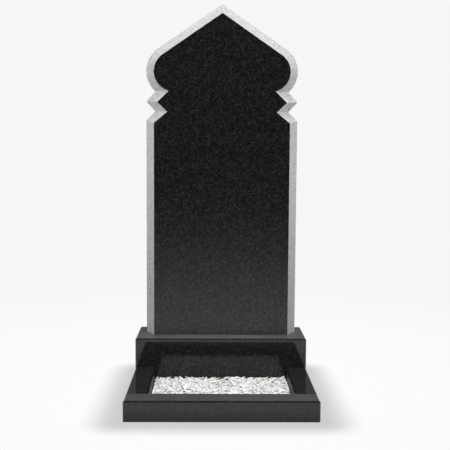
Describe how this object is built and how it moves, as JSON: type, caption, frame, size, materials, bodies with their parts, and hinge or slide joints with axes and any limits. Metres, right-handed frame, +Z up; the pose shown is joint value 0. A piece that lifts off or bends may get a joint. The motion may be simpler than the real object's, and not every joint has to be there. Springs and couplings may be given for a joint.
{
  "type": "headstone",
  "caption": "Polished black stone headstone: a stele with a pointed dome head on a plinth, and a low kerb in front that holds a bed of white chippings.",
  "frame": {"origin": "on the ground, at the middle of the footprint of plinth and kerb together", "axes": "+Z up, the face of the stele and the kerb look towards -Y, +X to the viewer's right"},
  "size_m": [0.6, 0.586, 1.3393],
  "materials": {
    "polished_stone": "polished black stone with fine grey flecks, the slope round the stele's face left light grey and rough",
    "white_chippings": "broken white marble, matt"
  },
  "bodies": {
    "root": {"stele": "polished_stone", "plinth": "polished_stone", "kerb_front": "polished_stone", "kerb_left": "polished_stone", "kerb_right": "polished_stone", "gravel_bed": "white_chippings"}
  },
  "joints": []
}
